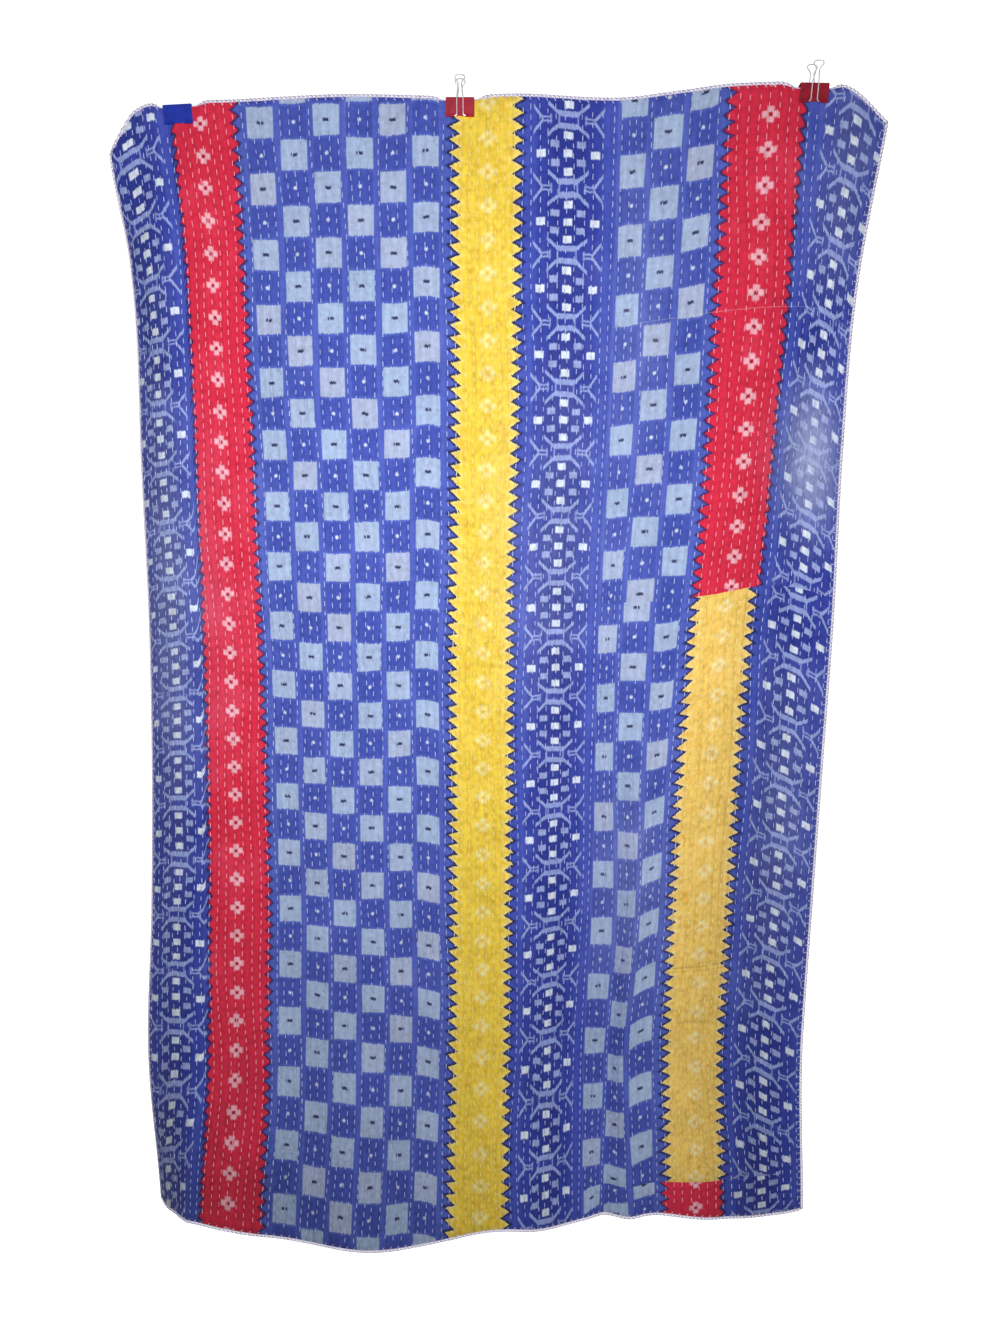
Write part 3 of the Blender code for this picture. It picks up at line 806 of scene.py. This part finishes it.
# each strip's middle line: levels down, how far across there, and how much its left half is stretched
leftStrips = (
    ((0.00, 0.17, 0.30, 0.40, 0.52, 0.63, 0.74, 0.96, 1.07, 1.40, 1.50, 1.79, 1.87, 1.94, 2.04, 2.16),
     (0.056, 0.062, 0.067, 0.072, 0.069, 0.072, 0.076, 0.082, 0.085, 0.085, 0.078, 0.080, 0.075, 0.063,
      0.053, 0.046), 1.22),
    ((0.0,), (0.855,), 1.0),
)
upperStrips = (
    ((0.00, 0.14, 0.26, 0.39, 0.52, 0.80, 0.90), (1.362, 1.361, 1.358, 1.354, 1.345, 1.350, 1.349), 1.0),
)
middleStrips = (((0.0, 1.75, 2.09), (1.345, 1.343, 1.335), 1.0),)
footStrips = (((0.0,), (1.331,), 1.0),)
mustard = {"yellow": dye(252, 212, 110), "yellowPetal": dye(255, 234, 170)}
leftSpikes, rightSpikes = (9.0, 14.0, 1.2, 0.0), (10.0, 17.0, 1.3, 0.15)
panels = (
    ("leftPanel", leftLines, (None, None), leftRows, leftLayout, leftStrips, {}, leftSpikes),
    ("rightUpperPiece", rightLines, (None, upperSeam), upperRows, upperLayout, upperStrips, {}, rightSpikes),
    ("rightMiddlePiece", rightLines, (upperSeam, footSeam), middleRows, middleLayout, middleStrips, mustard,
     rightSpikes),
    ("rightFootPiece", rightLines, (footSeam, None), footRows, footLayout, footStrips, {}, rightSpikes),
)
for name, lines, (top, foot), rows, layout, strips, change, spikes in panels:
    tops = seamDown(top, lines) if top else np.zeros(len(lines))
    feet = seamDown(foot, lines) if foot else np.full(len(lines), clothLong)
    count = max(4, round(float(np.mean(feet - tops)) / rowStep))
    finish = makeSariFinish(name + "Print", change, spikes)
    piece, across, down = clothGrid(name, lines, tops, feet, count, 1, finish)
    layPrint(piece, across, down, rows, layout, strips)
    dressed(piece)
    print(name, "made:", len(piece.data.polygons), "faces")

backLines = np.concatenate([leftLines[::2], rightLines[2::2]])
backCloth, across, down = clothGrid("backCloth", backLines, np.zeros(len(backLines)),
                                    np.full(len(backLines), clothLong), backRows, -1,
                                    makePlainCotton())
layPrint(backCloth, across, down, leftRows, leftLayout, leftStrips)
dressed(backCloth)
print("backCloth made:", len(backCloth.data.polygons), "faces")


# ---- running stitches: short raised threads whose ends dive into the cloth
def dashesOf(line, shift):
    # where down the cloth the dashes (shift 0) or the gaps between them (shift 0.5) of a row lie
    downs = np.linspace(0.0, clothLong, 900)
    counts = dashCount(line, downs)
    wanted = np.arange(math.ceil(counts[0]), math.floor(counts[-1])) + shift
    found = np.interp(wanted, counts, downs)
    first = sewn["firstDash"] + sewn["dash"] / 2
    return found[(found > first) & (found < clothLong - first)]


# along a dash, then height off the cloth: a point where the thread dives, two rounds of three, a point
threadRings = ((-0.5, -0.0009), (-0.33, 0.0), (0.33, 0.0), (0.5, -0.0009))
threadFaces = ((0, 2, 1), (0, 3, 2), (0, 1, 3), (1, 2, 5), (1, 5, 4), (2, 3, 6), (2, 6, 5),
               (3, 1, 4), (3, 4, 6), (4, 5, 7), (5, 6, 7), (6, 4, 7))


def stitchPiece(name, side, shift, longest, finish):
    dashes = [dashesOf(k, shift) for k in range(allLines)]
    line, middle = np.repeat(np.arange(allLines), [len(downs) for downs in dashes]), np.concatenate(dashes)
    length = longest * (sewn["shortest"] + sewn["longer"] * chance.random(len(line)))
    lean = chance.uniform(-sewn["lean"], sewn["lean"], len(line))
    sway = sewn["sway"] * np.sin(7.0 * middle + 2.4 * line)
    sway += chance.uniform(-sewn["stray"], sewn["stray"], len(line))
    over = acrossOfLine(line + 0.5, middle) + sway
    free = pressedByClips(middleOf(over, middle)) > sewn["freeFrom"]
    middle, length, lean, over = middle[free], length[free], lean[free], over[free]
    corners = []
    for place, raised in threadRings:
        base, right, _, out = surfaceOf(over + lean * place * 2.0, middle + length * place, side)
        if raised < 0.0:
            corners.append(base + raised * out)
        else:
            low = base - sewn["threadSunk"] * out
            corners += [low - sewn["threadHalf"] * right, low + sewn["threadHalf"] * right,
                        base + sewn["threadHigh"] * out]
    points = np.stack(corners, axis=1)
    count = len(points)
    pattern = np.array(threadFaces)[:, ::-side]  # faces turn one way on the face, the other on the back
    faces = (np.arange(count)[:, None, None] * len(corners) + pattern).reshape(-1, 3)
    piece = newPiece(name, points.reshape(-1, 3), faces.tolist(), finish, smooth=False)
    printed = printOver(over, middle) if side > 0 else np.zeros(count)  # the lining has no print
    rows = middle * sewn["rowsPerMetre"]
    giveValues(piece, "print", [np.repeat(value, len(corners)) for value in (printed, rows, 0.0 * rows)])
    return piece


threadFinish = makeStitchFinish("stitchThread")
faceStitches = dressed(stitchPiece("faceStitches", 1, 0.0, sewn["dash"], threadFinish))
backStitches = dressed(stitchPiece("backStitches", -1, 0.5, sewn["backDash"], threadFinish))
print("stitches made:", len(faceStitches.data.polygons) + len(backStitches.data.polygons), "faces")


# ---- edging: two thick threads crossing in loops along the rim, a thin violet one, and overcast legs
edging = {
    "pitch": 0.0150, "steps": 8, "middle": 0.0020, "swing": 0.0018, "rise": 0.0009, "thread": 0.00105,
    "thinOut": 0.0038, "thinSwing": 0.0010, "thinRise": 0.0012, "thin": 0.00055,
    "leg": 0.0058, "legStart": 0.0006, "legHigh": 1.1, "legLow": 0.6, "lean": 0.0030,
    "pressed": 0.1, "pressedBelow": 0.004, "freeFrom": 0.5,
}
# an overcast leg's three rounds: share of its length, height off the cloth, share of its width
legRings = ((-0.05, 0.0, 1.0), (0.5, 0.0006, 1.0), (1.0, -0.0010, 0.4))
legFaces = [(near + k, near + (k + 1) % 4, near + (k + 1) % 4 + 4, near + k + 4)
            for near in (0, 4) for k in range(4)] + [(3, 2, 1, 0), (8, 9, 10, 11)]


def rimPath():
    # the rim of the cloth, once round, as across and down at even steps
    corners = ((0.0, 0.0), (0.0, clothLong), (clothWide, clothLong), (clothWide, 0.0))
    across, down = [], []
    for start, end in zip(corners, corners[1:] + corners[:1]):
        loops = round((abs(end[0] - start[0]) + abs(end[1] - start[1])) / edging["pitch"])
        share = np.arange(loops * edging["steps"]) / (loops * edging["steps"])
        across.append(start[0] + (end[0] - start[0]) * share)
        down.append(start[1] + (end[1] - start[1]) * share)
    return np.concatenate(across), np.concatenate(down)


def threadRound(centre, away, out, radius):
    # a closed round of thread with four sides, along a row of points
    ring = [centre + radius * (math.cos(math.pi / 2 * k) * away + math.sin(math.pi / 2 * k) * out)
            for k in range(4)]
    j, k = np.meshgrid(np.arange(len(centre)), np.arange(4), indexing="ij")
    near, far, side = j * 4, (j + 1) % len(centre) * 4, (k + 1) % 4
    faces = np.stack([near + k, near + side, far + side, far + k], axis=-1).reshape(-1, 4)
    return np.stack(ring, axis=1).reshape(-1, 3), faces


def makeLegs(across, down, free):
    # legs run from the knots over the edge and into the cloth, slanting along the rim
    pick = np.arange(0, len(across), edging["steps"])
    pick = pick[free[pick] > edging["freeFrom"]]
    across, down = across[pick], down[pick]
    onSide = (across < 1e-6) | (across > clothWide - 1e-6)
    inAcross = np.where(onSide, np.sign(clothWide / 2 - across), 0.0)
    inDown = np.where(onSide, 0.0, np.sign(clothLong / 2 - down))
    half = edging["thread"]
    legs = []
    for side in (1, -1):
        rings = []
        for share, raised, wide in legRings:
            reach = edging["leg"] * share + edging["legStart"]
            slant = edging["lean"] * share
            here = np.clip(across + inAcross * reach + np.where(onSide, 0.0, slant), 0.0, clothWide)
            there = np.clip(down + inDown * reach + np.where(onSide, slant, 0.0), 0.0, clothLong)
            base, right, up, out = surfaceOf(here, there, side)
            wideWay = half * wide * np.where(onSide[:, None], up, right)
            base = base + raised * out
            rings += [base - wideWay, base + half * edging["legHigh"] * out, base + wideWay,
                      base - half * edging["legLow"] * out]
        legs.append(np.stack(rings, axis=1).reshape(-1, 3))
    points = np.concatenate(legs)
    size = 4 * len(legRings)
    return points, (np.arange(0, len(points), size)[:, None, None] + np.array(legFaces)).reshape(-1, 4)


def makeEdging(name, finishes):
    across, down = rimPath()
    base, _, _, out = clothFrame(across, down)
    ahead = unit(np.roll(base, -1, axis=0) - np.roll(base, 1, axis=0))
    away = unit(np.cross(ahead, out))
    turn = 2.0 * math.pi * np.arange(len(across)) / edging["steps"]
    free = pressedByClips(base - (0.0, 0.0, edging["pressedBelow"]))
    points, faces, paints = [], [], []

    def add(made, paint):
        faces.extend((made[1] + sum(map(len, points))).tolist())
        points.append(made[0])
        paints.extend([paint] * len(made[1]))

    def addThread(reach, rise, thick, paint):
        # the clips' jaws press the threads flat against the rim
        reach = reach * (edging["pressed"] + (1.0 - edging["pressed"]) * free)
        centre = base + away * reach[:, None] + out * (rise * free)[:, None]
        add(threadRound(centre, away, out, thick), paint)

    for way in (1.0, -1.0):
        addThread(edging["middle"] + way * edging["swing"] * np.sin(turn),
                  way * edging["rise"] * np.cos(turn), edging["thread"], 0)
    addThread(edging["thinOut"] + edging["thinSwing"] * np.sin(2.0 * turn),
              edging["thinRise"] * np.cos(2.0 * turn), edging["thin"], 1)
    add(makeLegs(across, down, free), 0)
    piece = newPiece(name, np.concatenate(points), faces, finishes[0])
    piece.data.materials.append(finishes[1])
    piece.data.polygons.foreach_set("material_index", paints)
    return piece


def faceOutwards(piece):
    bpy.context.view_layer.objects.active = piece
    piece.select_set(True)
    bpy.ops.object.mode_set(mode="EDIT")
    bpy.ops.mesh.select_all(action="SELECT")
    bpy.ops.mesh.normals_make_consistent(inside=False)
    bpy.ops.object.mode_set(mode="OBJECT")
    piece.select_set(False)


edgeFinish = makeThreadFinish("edgingThread", dye(236, 230, 244), dye(196, 184, 218), 90.0)
violetFinish = makeThreadFinish("violetThread", dye(112, 92, 158), dye(84, 66, 132), 90.0)
rimEdging = makeEdging("rimEdging", (edgeFinish, violetFinish))
faceOutwards(rimEdging)
dressed(rimEdging)
print("edging made:", len(rimEdging.data.polygons), "faces")


# ---- clips: enamelled spring steel, scuffed a little, and bright wire
clipPaint = {"left": dye(4, 44, 172), "middle": dye(172, 22, 52), "right": dye(150, 2, 34)}
enamelled = {"scuffScale": 260.0, "grimeScale": 70.0, "grimy": 0.55, "scuffed": 0.30}
enamelLook = {"Roughness": 0.38, "Specular IOR Level": 0.15}
wired = {"scale": 420.0, "rough": 0.16, "brushed": 0.2}
wireLook = {"Roughness": 0.25, "Metallic": 1.0}


def makeEnamel(name, paint):
    finish, shader, tree = newFinish(name, enamelLook)
    start = placeIn(tree)
    scuff = start.noise(start, enamelled["scuffScale"], 3.0)
    grime = start.noise(start, enamelled["grimeScale"], 2.0)
    dull = tuple(enamelled["grimy"] * c for c in paint[:3]) + (1.0,)
    colour = grime.over(0.62, 0.5).between(paint, dull)
    colour.into(shader, "Base Color")
    (scuff * enamelled["scuffed"] + enamelLook["Roughness"]).into(shader, "Roughness")
    return finish


def makeBrightWire():
    finish, shader, tree = newFinish("brightWire", wireLook)
    start = placeIn(tree)
    brushed = start.noise(start, wired["scale"], 2.0)
    colour = brushed.between(dye(150, 144, 152), dye(190, 184, 190))
    colour.into(shader, "Base Color")
    (brushed * wired["brushed"] + wired["rough"]).into(shader, "Roughness")
    return finish


wireFinish = makeBrightWire()
for side, paint in clipPaint.items():
    enamel = makeEnamel(side + "Enamel", paint)
    for nodeName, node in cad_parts.items():
        if nodeName.startswith(side + "_clip"):
            finish = wireFinish if "handle" in nodeName else enamel
            node.data.materials.clear()
            node.data.materials.append(finish)
print("clips finished")


# ---- stage: a white floor and a white dome all round, a soft key by the camera and soft fills
stage = {"floorGap": 0.30, "floorReach": 8.9, "domeReach": 9.0, "roomLight": 0.17, "lampShine": 0.5}
white = (1.0, 1.0, 1.0, 1.0)
stageLook = {"Roughness": 0.9, "Base Color": (0.93, 0.93, 0.93, 1.0), "Specular IOR Level": 0.1,
             "Emission Color": white, "Emission Strength": 1.0}
lamps = (  # place, aim, size, watts and colour
    ("keyLight", (-0.08, -1.60, -0.62), (0.0, 0.0, -0.76), (0.6, 0.6), 22.0, (1.0, 0.99, 0.98)),
    ("nearLight", (-0.05, -1.00, -0.86), (-0.05, 0.0, -0.86), (0.7, 0.7), 1.6, (1.0, 0.99, 0.98)),
    ("fillLight", (2.2, -2.2, -0.2), (0.2, 0.0, -0.5), (1.6, 2.0), 3.0, (1.0, 1.0, 1.0)),
    ("backLight", (0.4, 2.60, -0.5), (0.1, 0.0, -1.0), (1.4, 1.4), 40.0, (1.0, 1.0, 1.0)),
)


def makeStage():
    at = (0.0, 0.0, cadBox[0][2] - stage["floorGap"])
    finish = newFinish("paleFloor", stageLook)[0]
    bpy.ops.mesh.primitive_circle_add(vertices=96, radius=stage["floorReach"], fill_type="NGON", location=at)
    floor = bpy.context.object
    bpy.ops.mesh.primitive_uv_sphere_add(segments=64, ring_count=32, radius=stage["domeReach"], location=at)
    dome = bpy.context.object
    for name, piece in (("floor", floor), ("dome", dome)):
        piece.name = name
        piece.data.materials.append(finish)
        piece.visible_diffuse = False  # it fills the view, and the lamps do the lighting
        piece.visible_shadow = False
        piece.select_set(False)


def addLight(name, place, aim, size, power, colour):
    bpy.ops.object.light_add(type="AREA", location=place)
    lamp = bpy.context.object
    lamp.name = name
    lamp.data.shape = "RECTANGLE"
    lamp.data.size, lamp.data.size_y = size
    lamp.data.energy = power
    lamp.data.color = colour
    lamp.data.specular_factor = stage["lampShine"]
    way = type(lamp.location)(aim) - lamp.location
    lamp.rotation_euler = way.to_track_quat("-Z", "Y").to_euler()


makeStage()
for lamp in lamps:
    addLight(*lamp)
world = bpy.data.worlds.new("softRoom")
world.use_nodes = True
roomLight = world.node_tree.nodes["Background"]
roomLight.inputs["Color"].default_value = white
roomLight.inputs["Strength"].default_value = stage["roomLight"]
bpy.context.scene.world = world
bpy.context.scene.view_settings.view_transform = "Standard"
print("stage lit")
